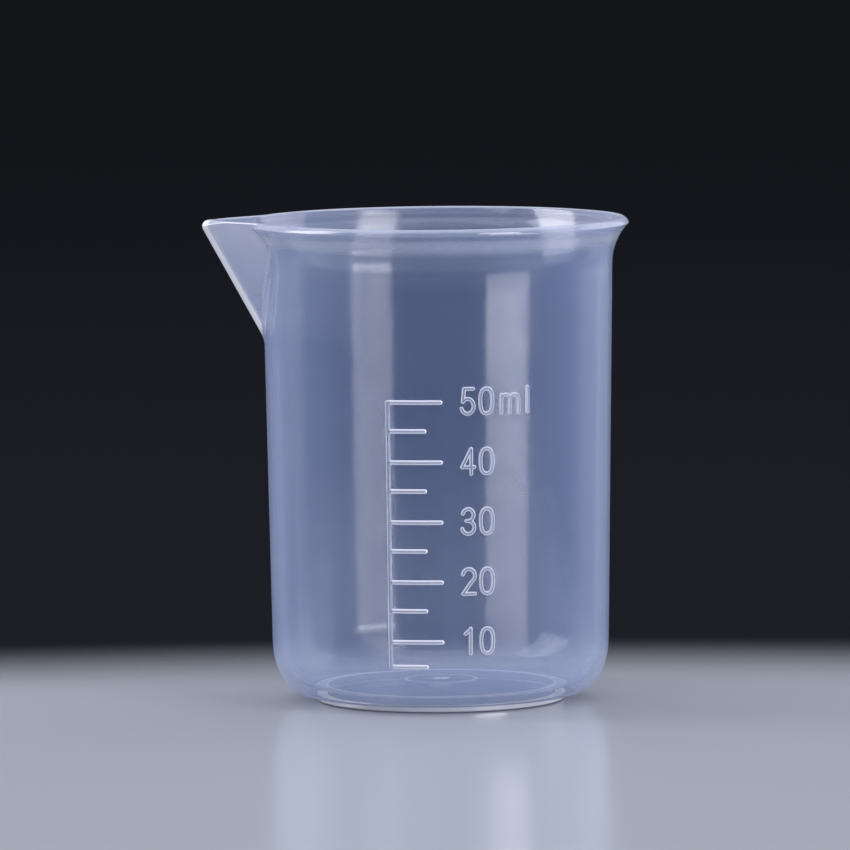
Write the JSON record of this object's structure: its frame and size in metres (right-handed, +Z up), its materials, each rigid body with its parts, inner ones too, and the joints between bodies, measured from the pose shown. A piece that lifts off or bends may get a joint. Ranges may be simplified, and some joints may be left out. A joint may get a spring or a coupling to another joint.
{
  "type": "plastic beaker",
  "caption": "Small flared plastic measuring beaker with a V spout, a foot ring and raised millilitre graduations.",
  "frame": {"origin": "middle of the footprint's bounding box on the surface that the beaker stands on; the turned axis is parallel to Z at x = 2.695 mm", "axes": "+Z up along the turned axis, the spout points to -X, the graduations face -Y"},
  "size_m": [0.0538, 0.0484, 0.0608],
  "materials": {
    "translucent_plastic": "translucent, satin gloss",
    "raised_marks": "translucent, satin gloss"
  },
  "bodies": {
    "root": {"vessel": "translucent_plastic", "graduation_scale": "raised_marks", "digit_1_of_10": "raised_marks", "digit_0_of_10": "raised_marks", "digit_2_of_20": "raised_marks", "digit_0_of_20": "raised_marks", "digit_3_of_30": "raised_marks", "digit_0_of_30": "raised_marks", "digit_4_of_40": "raised_marks", "digit_0_of_40": "raised_marks", "digit_5_of_50": "raised_marks", "digit_0_of_50": "raised_marks", "letter_m": "raised_marks", "letter_l": "raised_marks"}
  },
  "joints": []
}
